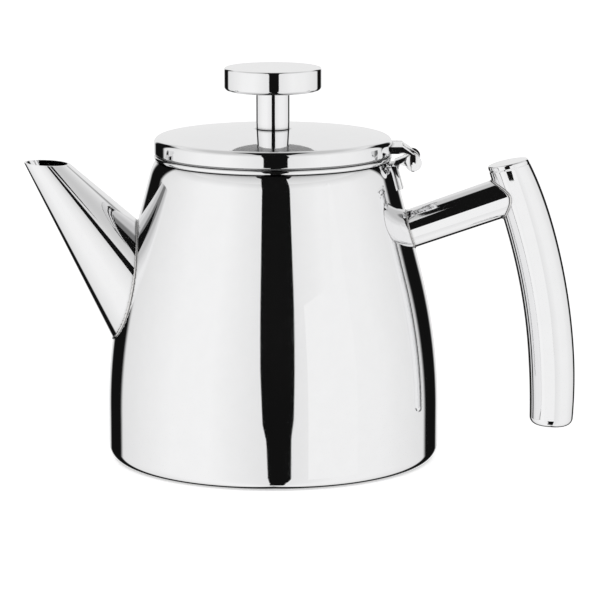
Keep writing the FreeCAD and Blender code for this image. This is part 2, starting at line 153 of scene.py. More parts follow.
# Infuser
BASKET_R = top_of("infuser_basket").x
BASKET_SHEET = 0.5
BASKET_FLOOR_Z = bottom_of("infuser_basket").z
FLANGE_R = top_of("infuser_rim").x
HOLE_R = 0.62
HOLE_PITCH = 2.2
ROW_SHARE = 0.866
FOOT_BAND_H = 2.5
COLLAR_BAND_H = 1.0
FLOOR_BORDER = 3.5


# ---------------------------------------------------------------- mesh building

def polar(centre, radius, angle):
    return np.array([centre[0] + radius * cos(radians(angle)), centre[1] + radius * sin(radians(angle))])


def run(start, end):
    """Straight stretch of a lathe outline. The outline goes anticlockwise, with r to the right."""
    start, end = np.array(start, float), np.array(end, float)
    along = (end - start) / np.linalg.norm(end - start)
    normal = np.array([along[1], -along[0]])
    return [(start, normal), (end, normal)]


def bend(centre, radius, start, end, steps=10):
    """Round stretch of a lathe outline, from one angle to another."""
    facing = 1 if end > start else -1
    stretch = []
    for angle in np.linspace(start, end, steps + 1):
        stretch.append((polar(centre, radius, angle), facing * polar((0, 0), 1, angle)))
    return stretch


def lathe_patches(outline, turns=TURNS):
    """One grid of points and normals for each stretch, turned about the pot's axis."""
    angles = np.linspace(0, 2 * np.pi, turns, endpoint=False)
    round_x, round_y = np.cos(angles), np.sin(angles)
    patches = []
    for stretch in outline:
        grids = []
        for part in (0, 1):
            r = np.array([step[part][0] for step in stretch])[:, None]
            z = np.array([step[part][1] for step in stretch])[:, None]
            grids.append(np.stack([r * round_x, r * round_y, z + 0 * round_x], -1))
        patches.append(grids)
    return patches


def surface_patch(shape, first, second):
    """Grid over shape(first, second), closed round its first value, with normals from its slopes."""
    step = 1e-3
    a, b = np.meshgrid(first, second)
    across = shape(a + step, b) - shape(a - step, b)
    along = shape(a, b + step) - shape(a, b - step)
    normals = np.cross(across, along)
    size = np.linalg.norm(normals, axis=-1, keepdims=True)
    return [shape(a, b), normals / np.maximum(size, 1e-12)]


def between(low, high, rows, low_normals, high_normals):
    """Grid of straight lines from one ring of points to another."""
    share = np.linspace(0, 1, rows)[:, None, None]
    normals = low_normals * (1 - share) + high_normals * share
    return [low * (1 - share) + high * share, normals / np.linalg.norm(normals, axis=-1, keepdims=True)]


def add_grid(points, normals, base, faces, loops):
    """Quads of one grid, closed round its columns, turned to face along the given normals."""
    rows, columns = points.shape[:2]
    index = base + np.arange(rows * columns).reshape(rows, columns)
    flat_normals = normals.reshape(-1, 3)
    low, high = points[rows // 2 - 1, 0], points[rows // 2, 0]
    side = points[rows // 2, 1] if rows // 2 < rows else points[0, 1]
    outward = np.dot(np.cross(side - high, high - low), normals[rows // 2, 0])
    for row in range(rows - 1):
        for column in range(columns):
            after = (column + 1) % columns
            quad = [index[row, column], index[row, after], index[row + 1, after], index[row + 1, column]]
            if outward < 0:
                quad.reverse()
            faces.append(quad)
            loops.append([flat_normals[corner - base] for corner in quad])


def new_object(name, mesh):
    piece = bpy.data.objects.new(name, mesh)
    bpy.context.scene.collection.objects.link(piece)
    return piece


def mesh_from_patches(name, patches):
    """A single mesh from several grids: their shared points are joined, and their normals are kept."""
    faces, loops, points = [], [], []
    count = 0
    for grid, normals in patches:
        add_grid(grid, normals, count, faces, loops)
        points.append(grid.reshape(-1, 3))
        count += grid.shape[0] * grid.shape[1]
    points = np.concatenate(points)
    keys = np.round(points, 4) + 0.0
    unique, place = np.unique(keys, axis=0, return_inverse=True)
    place = place.reshape(-1)
    kept_faces, kept_normals = [], []
    for face, normals in zip(faces, loops):
        corners, facing = [], []
        for corner, normal in zip(face, normals):
            vertex = int(place[corner])
            if vertex not in corners:
                corners.append(vertex)
                facing.append(normal)
        if len(corners) > 2:
            kept_faces.append(corners)
            kept_normals.extend(facing)
    mesh = bpy.data.meshes.new(name)
    mesh.from_pydata((unique * MM).tolist(), [], kept_faces)
    mesh.shade_smooth()
    mesh.normals_split_custom_set([tuple(normal) for normal in kept_normals])
    return new_object(name, mesh)


def lathe(name, outline, turns=TURNS):
    return mesh_from_patches(name, lathe_patches(outline, turns))


def apply_modifiers(piece):
    graph = bpy.context.evaluated_depsgraph_get()
    mesh = bpy.data.meshes.new_from_object(piece.evaluated_get(graph))
    piece.modifiers.clear()
    piece.data = mesh


def show_normals(piece, normal_at):
    """Sets the normals of a cut lathe piece from its true surface, where a face lies on it."""
    mesh = piece.data
    mesh.shade_smooth()
    facing = []
    for face in mesh.polygons:
        for corner in face.vertices:
            true = normal_at(np.array(mesh.vertices[corner].co) / MM, np.array(face.normal))
            facing.append(tuple(true))
    mesh.normals_split_custom_set(facing)


def cut_away(piece, cutter):
    """Removes the cutter's volume from the piece, and then the cutter."""
    modifier = piece.modifiers.new("cut", "BOOLEAN")
    modifier.operation = "DIFFERENCE"
    modifier.solver = "EXACT"
    modifier.object = cutter
    apply_modifiers(piece)
    bpy.data.objects.remove(cutter)


# ---------------------------------------------------------------- body wall

def taper_start(inset):
    return polar(BELLY_CENTRE, BELLY_R - inset, TAPER)


def shoulder_start(inset):
    length = (SHOULDER_Z - taper_start(0)[1]) / cos(radians(TAPER))
    return polar(taper_start(inset), length, TAPER + 90)


SHOULDER_CENTRE = polar(shoulder_start(0), -SHOULDER_R, TAPER)


def neck(inset):
    return polar(SHOULDER_CENTRE, SHOULDER_R - inset, NECK_ANGLE)


LINER_NECK_R = neck(SHEET)[0]


def wall_outline(inset):
    corner = (BODY_R - CORNER_R, CORNER_R)
    return [
        bend(corner, CORNER_R - inset, -90, 0, 16),
        run((BODY_R - inset, CORNER_R), (BODY_R - inset, BELLY_Z)),
        bend(BELLY_CENTRE, BELLY_R - inset, 0, TAPER, 48),
        run(taper_start(inset), shoulder_start(inset)),
        bend(SHOULDER_CENTRE, SHOULDER_R - inset, TAPER, NECK_ANGLE, 16),
    ]


def flipped(outline):
    """The same outline walked the other way, so that it faces the other side."""
    return [[(point, -normal) for point, normal in stretch[::-1]] for stretch in outline[::-1]]


def wall_radius(z):
    """Outer radius of the body wall at height z, for arrays of z."""
    z = np.asarray(z, float)
    corner = BODY_R - CORNER_R + np.sqrt(np.maximum(CORNER_R ** 2 - (CORNER_R - z) ** 2, 0))
    belly = BELLY_CENTRE[0] + np.sqrt(BELLY_R ** 2 - (z - BELLY_Z) ** 2)
    taper = taper_start(0)[0] - (z - taper_start(0)[1]) * tan(radians(TAPER))
    reach = np.maximum(SHOULDER_R ** 2 - (z - SHOULDER_CENTRE[1]) ** 2, 0)
    shoulder = SHOULDER_CENTRE[0] + np.sqrt(reach)
    bands = [z < CORNER_R, z < BELLY_Z, z < taper_start(0)[1], z < SHOULDER_Z]
    return np.select(bands, [corner, BODY_R + 0 * z, belly, taper], shoulder)


def wall_normal(point, face_normal):
    """True normal of the outer or inner face of the wall, or the face's own normal elsewhere."""
    outward = np.array([point[0], point[1]]) / np.hypot(point[0], point[1])
    if abs(np.dot(face_normal[:2], outward)) < 0.6:
        return face_normal
    for inset, side in ((0, 1), (SHEET, -1)):
        z = point[2]
        if z < CORNER_R:
            centre = np.array([BODY_R - CORNER_R, CORNER_R])
        elif z < BELLY_Z:
            centre = np.array([0.0, z])
        elif z < taper_start(inset)[1]:
            centre = BELLY_CENTRE
        elif z < shoulder_start(inset)[1]:
            centre = np.array([point_radius(point) - cos(radians(TAPER)), z - sin(radians(TAPER))])
        else:
            centre = SHOULDER_CENTRE
        away = np.array([point_radius(point), z]) - centre
        away = side * away / np.linalg.norm(away)
        normal = np.array([away[0] * outward[0], away[0] * outward[1], away[1]])
        if np.dot(normal, face_normal) > 0.9:
            return normal
    return face_normal


def point_radius(point):
    return np.hypot(point[0], point[1])


def bisect(outside, low, high):
    """Where the function crosses zero between two arrays: it is negative at low."""
    for _ in range(40):
        middle = (low + high) / 2
        beyond = outside(middle) > 0
        low, high = np.where(beyond, low, middle), np.where(beyond, middle, high)
    return (low + high) / 2


def make_body_shell():
    corner = BODY_R - CORNER_R
    outline = [run((BASE_HOLE_R, SHEET), (BASE_HOLE_R, 0)), run((BASE_HOLE_R, 0), (corner, 0))]
    outline += wall_outline(0) + [run(neck(0), neck(SHEET))] + flipped(wall_outline(SHEET))
    outline += [run((corner, SHEET), (BASE_HOLE_R, SHEET))]
    shell = lathe("body_shell_polished", outline, 2 * TURNS)
    cut_away(shell, spout_solid(SPOUT_WALL))
    show_normals(shell, wall_normal)
    return shell


# ---------------------------------------------------------------- spout

def spout_point(angle, z, inset):
    """Point on the cone at height z: angle goes round its level section, from the pot's side."""
    drop = SPOUT_APEX[2] - z
    radius = SPOUT_SPREAD * drop - inset
    turn = np.radians(angle)
    return np.stack([SPOUT_APEX[0] + SPOUT_LEAN * drop + radius * np.cos(turn), radius * np.sin(turn), z], -1)


def lip_height(angle, inset):
    """Height at which a line of the cone reaches the sloping lip."""
    slope = tan(radians(LIP_TILT))

    def above(z):
        point = spout_point(angle, z, inset)
        return point[..., 2] - (LIP_Z - (point[..., 0] - LIP_X) * slope)
    return bisect(above, 0 * angle + LIP_Z - 5, 0 * angle + LIP_Z + 5)


def root_height(angle, inset):
    """Height at which a line of the cone meets the body wall."""
    def outside(z):
        point = spout_point(angle, z, inset)
        return np.hypot(point[..., 0], point[..., 1]) - wall_radius(z)
    return bisect(outside, 0 * angle + BELOW_ROOT_Z, 0 * angle + LIP_Z - 5)


def spout_wall(inset):
    def shape(angle, share):
        low, high = root_height(angle, inset), lip_height(angle, inset)
        return spout_point(angle, low + share * (high - low), inset)
    return shape


def spout_solid(inset):
    """A closed block of the cone, which cuts the channel's way through a wall."""
    angles = np.linspace(0, 360, TURNS, endpoint=False)
    rows = []
    for z in (CUTTER_LOW_Z, CUTTER_HIGH_Z):
        ring = spout_point(angles, 0 * angles + z, inset)
        centre = np.repeat(ring.mean(0)[None], len(angles), 0)
        rows += [centre, ring] if z == CUTTER_LOW_Z else [ring, centre]
    grid = np.array(rows)
    normals = np.zeros_like(grid) + [0, 0, -1]
    outward = grid - grid.mean(1, keepdims=True)
    normals[1:3] = outward[1:3] / np.linalg.norm(outward[1:3], axis=-1, keepdims=True)
    patches = [[grid[0:2], normals[0:2]], [grid[1:3], normals[1:3]], [grid[2:4], -normals[0:2]]]
    return mesh_from_patches("spout_cutter", patches)


def make_spout():
    angles = np.linspace(0, 360, TURNS, endpoint=False)
    rows = np.linspace(0, 1, 40)
    outer = surface_patch(spout_wall(0), angles, rows)
    inner = surface_patch(spout_wall(SPOUT_WALL), angles, rows)
    inner[1] = -inner[1]
    tilt = radians(LIP_TILT)
    up = np.zeros_like(outer[1][-1]) + [sin(tilt), 0, cos(tilt)]
    lip = between(outer[0][-1], inner[0][-1], 2, up, up)
    root_facing = -outer[0][0] / np.linalg.norm(outer[0][0], axis=-1, keepdims=True)
    root = between(inner[0][0], outer[0][0], 2, root_facing, root_facing)
    return mesh_from_patches("spout_polished", [outer, lip, inner, root])


# ---------------------------------------------------------------- handle

def grip_radius(share):
    """The grip's tube narrows towards its top, and a little towards its bottom."""
    top = np.maximum(0, (share - GRIP_TOP_FROM) / (1 - GRIP_TOP_FROM))
    low = np.maximum(0, (GRIP_LOW_TO - share) / GRIP_LOW_TO)
    return GRIP_R - GRIP_TOP_LOSS * top ** GRIP_TOP_POWER - GRIP_LOW_LOSS * low ** 2


def grip_point(angle, share):
    """Point on the grip's skin: angle goes round its section, and share goes from bottom to top."""
    lean = np.radians(GRIP_LOW_ANGLE + share * (GRIP_HIGH_ANGLE - GRIP_LOW_ANGLE))
    turn = np.radians(angle)
    radius = grip_radius(share)
    reach = GRIP_BEND_R + radius * np.cos(turn)
    return GRIP_CENTRE + np.stack([reach * np.cos(lean), radius * np.sin(turn), reach * np.sin(lean)], -1)


CAP_UP = np.array([-sin(radians(CAP_TILT)), 0, cos(radians(CAP_TILT))])


def cap_share(angle, drop):
    """How far up the grip a line of its skin meets the sloping top face, lowered by drop."""
    def above(share):
        return (grip_point(angle, share) - CAP_CENTRE) @ CAP_UP + drop
    return bisect(above, 0 * angle + 0.6, 0 * angle + 1.0)


def make_grip():
    angles = np.linspace(0, 360, 128, endpoint=False)

    def skin(angle, share):
        return grip_point(angle, share * cap_share(angle, CAP_THICK))
    side = surface_patch(skin, angles, np.linspace(0, 1, 120))
    side[1] = -side[1]
    closings = []
    for row, facing in ((0, -1), (-1, 1)):
        ring = side[0][row]
        middle = np.repeat(ring.mean(0)[None], len(angles), 0)
        closings.append(between(ring, middle, 2, *[np.zeros_like(ring) + facing * CAP_UP] * 2))
    return mesh_from_patches("grip_tube_polished", [side] + closings)


def make_grip_top():
    angles = np.linspace(0, 360, 128, endpoint=False)
    low = grip_point(angles, cap_share(angles, CAP_THICK))
    seam = grip_point(angles, cap_share(angles, CAP_EDGE_R))
    middle = seam.mean(0)
    outward = seam - middle
    outward /= np.linalg.norm(outward, axis=-1, keepdims=True)
    side_normals = surface_patch(grip_point, angles, np.array([0.9, 0.95]))[1][0]
    side_normals = side_normals * np.sign((side_normals * outward).sum(-1, keepdims=True))
    rows, facings = [], []
    for step in np.linspace(0, 90, 9):
        facing = side_normals * cos(radians(step)) + CAP_UP * sin(radians(step))
        facing /= np.linalg.norm(facing, axis=-1, keepdims=True)
        rows.append(seam - CAP_EDGE_R * outward + CAP_EDGE_R * (outward * cos(radians(step))
                                                               + CAP_UP * sin(radians(step))))
        facings.append(facing)
    edge = [np.array(rows), np.array(facings)]
    up = np.zeros_like(low) + CAP_UP
    centre = np.repeat(rows[-1].mean(0)[None], len(angles), 0)
    under = np.repeat(low.mean(0)[None], len(angles), 0)
    patches = [between(low, seam, 2, side_normals, side_normals), edge,
               between(rows[-1], centre, 2, up, up), between(under, low, 2, -up, -up)]
    return mesh_from_patches("grip_top_polished", patches)


def make_grip_bottom():
    """Rounded plug, made on the pot's axis and then set square to the end of the grip."""
    radius = float(grip_radius(np.array(0.0)))
    outline = [run((0, -END_CAP_R), (radius - END_CAP_R, -END_CAP_R)),
               bend((radius - END_CAP_R, 0), END_CAP_R, -90, 0, 14), run((radius, 0), (0, 0))]
    lean = radians(-GRIP_LOW_ANGLE)
    tilt = np.array([[cos(lean), 0, sin(lean)], [0, 1, 0], [-sin(lean), 0, cos(lean)]])
    end = GRIP_CENTRE + GRIP_BEND_R * np.array([cos(lean), 0, -sin(lean)])
    patches = [[grid @ tilt.T + end, normals @ tilt.T] for grid, normals in lathe_patches(outline, 128)]
    return mesh_from_patches("grip_bottom_polished", patches)


ARM_ALONG = np.array([cos(radians(ARM_RISE)), 0, sin(radians(ARM_RISE))])
ARM_UP = np.array([-sin(radians(ARM_RISE)), 0, cos(radians(ARM_RISE))])


def arm_point(angle, distance):
    """Point on the arm's skin: angle goes round it from its top, and distance goes along its axis."""
    radius = ARM_START_R + (ARM_END_R - ARM_START_R) * distance / ARM_LENGTH
    turn = np.radians(angle)
    sideways = np.stack([0 * turn, radius * np.sin(turn), 0 * turn], -1)
    upwards = (radius * np.cos(turn))[..., None] * ARM_UP
    return ARM_START + distance[..., None] * ARM_ALONG + (sideways + upwards)


def arm_root(angle):
    """Distance along the arm at which a line of it leaves the body wall."""
    def outside(distance):
        point = arm_point(angle, distance)
        return np.hypot(point[..., 0], point[..., 1]) - wall_radius(point[..., 2])
    return bisect(outside, 0 * angle, 0 * angle + 25)


def arm_tip(angle):
    """Distance along the arm at which a line of it enters the grip."""
    def inside(distance):
        offset = arm_point(angle, distance) - GRIP_CENTRE
        lean = np.degrees(np.arctan2(offset[..., 2], offset[..., 0]))
        share = (lean - GRIP_LOW_ANGLE) / (GRIP_HIGH_ANGLE - GRIP_LOW_ANGLE)
        away = np.hypot(np.hypot(offset[..., 0], offset[..., 2]) - GRIP_BEND_R, offset[..., 1])
        return grip_radius(share) - away
    return bisect(inside, 0 * angle + 25, 0 * angle + 50)


def make_arm():
    angles = np.linspace(0, 360, 128, endpoint=False)

    def skin(angle, share):
        start = arm_root(angle)
        return arm_point(angle, start + share * (arm_tip(angle) - start))
    side = surface_patch(skin, angles, np.linspace(0, 1, 40))
    if side[1][0, 0] @ ARM_UP < 0:
        side[1] = -side[1]
    closings = []
    for row, facing in ((0, -1), (-1, 1)):
        ring = side[0][row]
        middle = np.repeat(ring.mean(0)[None], len(angles), 0)
        flat = np.zeros_like(ring) + facing * ARM_ALONG
        closings.append(between(ring, middle, 2, flat, flat))
    return mesh_from_patches("arm_polished", [side] + closings)


# ---------------------------------------------------------------- welds

# Makes low * sqrt(1 - low) reach 1 at its highest, two thirds of the way down
SWELL_SCALE = 2.6


def weld_bead(name, centres, radii):
    """Thin round bead along a closed ring of points, with its radius at each of them."""
    ahead = np.roll(centres, -1, 0) - np.roll(centres, 1, 0)
    ahead /= np.linalg.norm(ahead, axis=-1, keepdims=True)
    first = np.cross(ahead, centres - centres.mean(0))
    first /= np.linalg.norm(first, axis=-1, keepdims=True)
    second = np.cross(ahead, first)
    rows, facings = [], []
    for step in np.linspace(0, 2 * np.pi, 13):
        facing = first * np.cos(step) + second * np.sin(step)
        rows.append(centres + radii[:, None] * facing)
        facings.append(facing)
    return mesh_from_patches(name, [[np.array(rows), np.array(facings)]])


def rough_radii(centres, smooth, rough):
    """Bead radii: smooth at the top and bottom, thickest two thirds of the way down, with ripples."""
    low = (centres[:, 2].max() - centres[:, 2]) / np.ptp(centres[:, 2])
    turn = np.linspace(0, 2 * np.pi, len(centres), endpoint=False)
    ripple = (np.sin(61 * turn) + np.sin(97 * turn + 1) + np.sin(143 * turn + 2)) / 3
    swell = SWELL_SCALE * low * np.sqrt(1 - low)
    return smooth + swell * (rough - smooth) * (1 + 0.8 * ripple)


def make_welds():
    angles = np.linspace(0, 360, 720, endpoint=False)
    spout_root = spout_point(angles, root_height(angles, 0), 0)
    arm_in = arm_point(angles, arm_root(angles))
    arm_out = arm_point(angles, arm_tip(angles))
    return [weld_bead("spout_weld", spout_root, rough_radii(spout_root, 0.32, 0.6)),
            weld_bead("arm_body_weld", arm_in, rough_radii(arm_in, 0.3, 0.36)),
            weld_bead("arm_grip_weld", arm_out, rough_radii(arm_out, 0.3, 0.36))]


# ---------------------------------------------------------------- liner and base

def liner_wall(inset):
    """The liner's wall from the edge of its floor up to the mouth ring, and the end of its neck."""
    extra = inset - WALL_GAP
    radius = BODY_R - inset
    corner = (LINER_FLOOR_R, LINER_FLOOR_Z + LINER_CORNER_R)
    start = taper_start(inset)
    slope = tan(radians(TAPER))
    seam = (start[0] - (RING_LOW_Z - start[1]) * slope, RING_LOW_Z)
    neck_r = LINER_NECK_R - extra
    neck_end = (neck_r, start[1] + (start[0] - neck_r) / slope)
    wall = [
        bend(corner, LINER_CORNER_R - extra, -90, 0, 12),
        run((radius, corner[1]), (radius, BELLY_Z)),
        bend(BELLY_CENTRE, BELLY_R - inset, 0, TAPER, 32),
        run(start, seam),
    ]
    return wall, seam, neck_end


def make_liner_floor():
    high = LINER_FLOOR_Z + SHEET
    return lathe("liner_floor_spun", [run((0, LINER_FLOOR_Z), (LINER_FLOOR_R, LINER_FLOOR_Z)),
                                      run((LINER_FLOOR_R, LINER_FLOOR_Z), (LINER_FLOOR_R, high)),
                                      run((LINER_FLOOR_R, high), (0, high))])


def make_liner():
    """Drawn wall of the vessel, with the strainer holes behind the spout."""
    outer, outer_seam, _ = liner_wall(WALL_GAP)
    inner, inner_seam, _ = liner_wall(WALL_GAP + SHEET)
    foot = run((LINER_FLOOR_R, LINER_FLOOR_Z + SHEET), (LINER_FLOOR_R, LINER_FLOOR_Z))
    liner = lathe("liner_spun", outer + [run(outer_seam, inner_seam)] + flipped(inner) + [foot])
    cut_away(liner, strainer_drills())
    liner.data.set_sharp_from_angle(angle=radians(25))
    return liner


def make_mouth_ring():
    """Neck with its rim rolled outwards, and a bead pressed inwards below for the infuser."""
    _, outer_seam, outer_neck = liner_wall(WALL_GAP)
    _, inner_seam, inner_neck = liner_wall(WALL_GAP + SHEET)
    outer_r, inner_r = outer_neck[0], inner_neck[0]
    rim_low, rim_high = RIM_Z - RIM_BEAD_R, RIM_Z + RIM_BEAD_R
    seat_r = inner_r - SEAT_INSET + SEAT_BEAD_R
    half = np.degrees(np.arccos((seat_r - inner_r) / SEAT_BEAD_R))
    seat = bend((seat_r, SEAT_Z - SEAT_BEAD_R), SEAT_BEAD_R, 180 - half, 180 + half, 20)
    seat_high, seat_low = seat[0][0], seat[-1][0]
    lip = (inner_r + RIM_EDGE_R, rim_high - RIM_EDGE_R)
    return lathe("mouth_ring_rolled", [
        run(outer_seam, outer_neck),
        run(outer_neck, (outer_r, rim_low)),
        run((outer_r, rim_low), (RIM_R, rim_low)),
        bend((RIM_R, RIM_Z), RIM_BEAD_R, -90, 90, 24),
        run((RIM_R, rim_high), (lip[0], rim_high)),
        bend(lip, RIM_EDGE_R, 90, 180, 6),
        run((inner_r, lip[1]), seat_high),
        seat,
        run(seat_low, inner_neck),
        run(inner_neck, inner_seam),
        run(inner_seam, outer_seam),
    ], 2 * TURNS)


def strainer_drills():
    """Short drills in staggered rows, through the liner's wall behind the spout."""
    row_pitch = STRAINER_PITCH * cos(radians(30))
    rows = int(STRAINER_R / row_pitch)
    columns = int(STRAINER_R / STRAINER_PITCH) + 1
    patches = []
    for row in range(-rows, rows + 1):
        z = row * row_pitch
        for column in range(-columns, columns + 1):
            y = (column + 0.5 * (row % 2)) * STRAINER_PITCH
            if np.hypot(y, z) + STRAINER_HOLE_R <= STRAINER_R:
                patches += drill_patches(y, STRAINER_Z + z)
    return mesh_from_patches("strainer_cutter", patches)


def drill_patches(y, z):
    """One drill, made on the pot's axis and then laid along -X at the given y and z."""
    outline = [
        run((0, DRILL_START), (STRAINER_HOLE_R, DRILL_START)),
        run((STRAINER_HOLE_R, DRILL_START), (STRAINER_HOLE_R, DRILL_END)),
        run((STRAINER_HOLE_R, DRILL_END), (0, DRILL_END)),
    ]
    swap = np.array([[0, 0, -1], [0, 1, 0], [1, 0, 0]])
    turned = []
    for grid, normals in lathe_patches(outline, 24):
        turned.append([grid @ swap.T + [0, y, z], normals @ swap.T])
    return turned


# ---------------------------------------------------------------- lid and knob

def dome(inset):
    """The lid's domed top: its centre and radius, and its corner's centre and end angle."""
    side = LID_R - LID_CORNER_R
    rise = LID_TOP_Z - LID_EDGE_Z
    radius = (side ** 2 + rise ** 2) / (2 * rise)
    reach = radius - LID_CORNER_R
    centre = (0, LID_TOP_Z - radius)
    corner = (side, centre[1] + (reach ** 2 - side ** 2) ** 0.5)
    angle = float(np.degrees(np.arccos(side / reach)))
    return centre, radius - inset, corner, angle


def make_lid():
    centre, radius, corner, angle = dome(0)
    inner = dome(SHEET)[1]
    inner_r = LID_R - SHEET
    hem_z = LID_RIM_Z + SHEET / 2
    outline = [
        bend((LID_R - SHEET / 2, hem_z), SHEET / 2, -180, 0, 12),
        run((LID_R, hem_z), (LID_R, corner[1])),
        bend(corner, LID_CORNER_R, 0, angle, 16),
        bend(centre, radius, angle, 90, 60),
        bend(centre, inner, 90, angle, 60),
        bend(corner, LID_CORNER_R - SHEET, angle, 0, 10),
        run((inner_r, corner[1]), (inner_r, hem_z)),
    ]
    return lathe("lid_polished", outline, 2 * TURNS)


def make_lid_underside():
    flange_z = RIM_Z + RIM_BEAD_R
    inner_r = PAN_R - SHEET
    corner = (PAN_R - PAN_CORNER_R, PAN_FLOOR_Z + PAN_CORNER_R)
    outline = [
        run((0, PAN_FLOOR_Z), (corner[0], PAN_FLOOR_Z)),
        bend(corner, PAN_CORNER_R, -90, 0),
        run((PAN_R, corner[1]), (PAN_R, flange_z)),
        run((PAN_R, flange_z), (PAN_FLANGE_R, flange_z)),
        run((PAN_FLANGE_R, flange_z), (PAN_FLANGE_R, flange_z + SHEET)),
        run((PAN_FLANGE_R, flange_z + SHEET), (inner_r, flange_z + SHEET)),
        run((inner_r, flange_z + SHEET), (inner_r, corner[1])),
        bend(corner, PAN_CORNER_R - SHEET, 0, -90),
        run((corner[0], PAN_FLOOR_Z + SHEET), (0, PAN_FLOOR_Z + SHEET)),
    ]
    return lathe("lid_pan_spun", outline)


def make_stem():
    foot = bottom_of("knob_stem").z
    corner = (STEM_R - STEM_FOOT_R, foot + STEM_FOOT_R)
    return lathe("stem_polished", [
        run((0, foot), (corner[0], foot)),
        bend(corner, STEM_FOOT_R, -90, 0, 6),
        run((STEM_R, corner[1]), (STEM_R, KNOB_LOW_Z)),
        run((STEM_R, KNOB_LOW_Z), (0, KNOB_LOW_Z)),
    ])


def make_knob():
    low = (KNOB_R - KNOB_LOW_EDGE_R, KNOB_LOW_Z + KNOB_LOW_EDGE_R)
    high = (KNOB_R - KNOB_TOP_EDGE_R, KNOB_TOP_Z - KNOB_TOP_EDGE_R)
    seam_r = top_of("knob_floor").x
    hem_z = KNOB_LOW_Z + KNOB_HEM
    inner_r = KNOB_R - KNOB_SHEET
    ceiling = KNOB_TOP_Z - KNOB_SHEET
    return lathe("knob_polished", [
        run((seam_r, hem_z), (seam_r + KNOB_HEM_FLARE, KNOB_LOW_Z)),
        bend(low, KNOB_LOW_EDGE_R, -90, 0, 14),
        run((KNOB_R, low[1]), (KNOB_R, high[1])),
        bend(high, KNOB_TOP_EDGE_R, 0, 90, 10),
        run((high[0], KNOB_TOP_Z), (0, KNOB_TOP_Z)),
        run((0, ceiling), (inner_r, ceiling)),
        run((inner_r, ceiling), (inner_r, hem_z)),
        run((inner_r, hem_z), (seam_r, hem_z)),
    ])


def make_knob_floor():
    radius = top_of("knob_floor").x
    high = top_of("knob_floor").z
    corner = (radius - KNOB_FLOOR_EDGE_R, KNOB_LOW_Z + KNOB_FLOOR_EDGE_R)
    return lathe("knob_floor_polished", [
        run((0, KNOB_LOW_Z), (corner[0], KNOB_LOW_Z)),
        bend(corner, KNOB_FLOOR_EDGE_R, -90, 0, 4),
        run((radius, corner[1]), (radius, high)),
        run((radius, high), (0, high)),
    ])


shell = make_body_shell()
spout = make_spout()
grip = make_grip()
grip_top = make_grip_top()
grip_bottom = make_grip_bottom()
arm = make_arm()
welds = make_welds()
liner_floor = make_liner_floor()
liner = make_liner()
mouth_ring = make_mouth_ring()
lid = make_lid()
lid_pan = make_lid_underside()
stem = make_stem()
knob = make_knob()
knob_floor = make_knob_floor()


# ---------------------------------------------------------------- infuser

def cell_corners(pitch_u, pitch_v):
    """The eight rim points of a cell of perforated sheet, and the matching points of its hole."""
    half_u, half_v = pitch_u / 2, pitch_v / 2
    rim = [(half_u, 0), (half_u, half_v), (0, half_v), (-half_u, half_v),
           (-half_u, 0), (-half_u, -half_v), (0, -half_v), (half_u, -half_v)]
    hole = [(HOLE_R * cos(radians(45 * k)), HOLE_R * sin(radians(45 * k))) for k in range(8)]
    return rim, hole


def perforated(mesh, cells, pitch_u, pitch_v, place):
    """Adds sheet with one hole in each cell. place turns flat (u, v) into a point in space."""
    rim, hole = cell_corners(pitch_u, pitch_v)
    made = {}

    def vertex(u, v):
        point = place(u, v)
        key = tuple(round(value, 3) + 0.0 for value in point)
        if key not in made:
            made[key] = mesh.verts.new(Vector(point) * MM)
        return made[key]
    edge_vertices = set()
    for u, v in cells:
        outer = [vertex(u + du, v + dv) for du, dv in rim]
        inner = [vertex(u + du, v + dv) for du, dv in hole]
        edge_vertices.update(outer)
        for k in range(8):
            after = (k + 1) % 8
            mesh.faces.new([outer[k], outer[after], inner[after], inner[k]])
    return edge_vertices, vertex


def thicken(mesh, name, thickness):
    """Gives a sheet its thickness, inwards from its first face, and makes it an object."""
    bmesh.ops.recalc_face_normals(mesh, faces=mesh.faces)
    bmesh.ops.solidify(mesh, geom=mesh.faces[:], thickness=thickness * MM)
    bmesh.ops.recalc_face_normals(mesh, faces=mesh.faces)
    data = bpy.data.meshes.new(name)
    mesh.to_mesh(data)
    mesh.free()
    data.shade_smooth()
    data.set_sharp_from_angle(angle=radians(30))
    return new_object(name, data)


def make_basket():
    """Perforated cylinder with a plain band at its foot and under its collar."""
    columns = round(2 * np.pi * BASKET_R / HOLE_PITCH)
    pitch_u = 2 * np.pi * BASKET_R / columns
    pitch_v = pitch_u * ROW_SHARE
    first, last = BASKET_FLOOR_Z + FOOT_BAND_H, SEAT_Z - COLLAR_H - COLLAR_BAND_H
    rows = int((last - first) / pitch_v)

    def place(u, v):
        turn = u / BASKET_R
        return (BASKET_R * cos(turn), BASKET_R * sin(turn), first + v)
    mesh = bmesh.new()
    cells = []
    for j in range(rows):
        for i in range(columns):
            cells.append(((i + 0.5 * (j % 2)) * pitch_u, (j + 0.5) * pitch_v))
    vertex = perforated(mesh, cells, pitch_u, pitch_v, place)[1]
    for low, high in ((BASKET_FLOOR_Z - first, 0), (rows * pitch_v, SEAT_Z - first)):
        for i in range(2 * columns):
            u, after = i * pitch_u / 2, ((i + 1) % (2 * columns)) * pitch_u / 2
            mesh.faces.new([vertex(u, low), vertex(after, low), vertex(after, high), vertex(u, high)])
    return thicken(mesh, "infuser_basket_perforated", BASKET_SHEET)


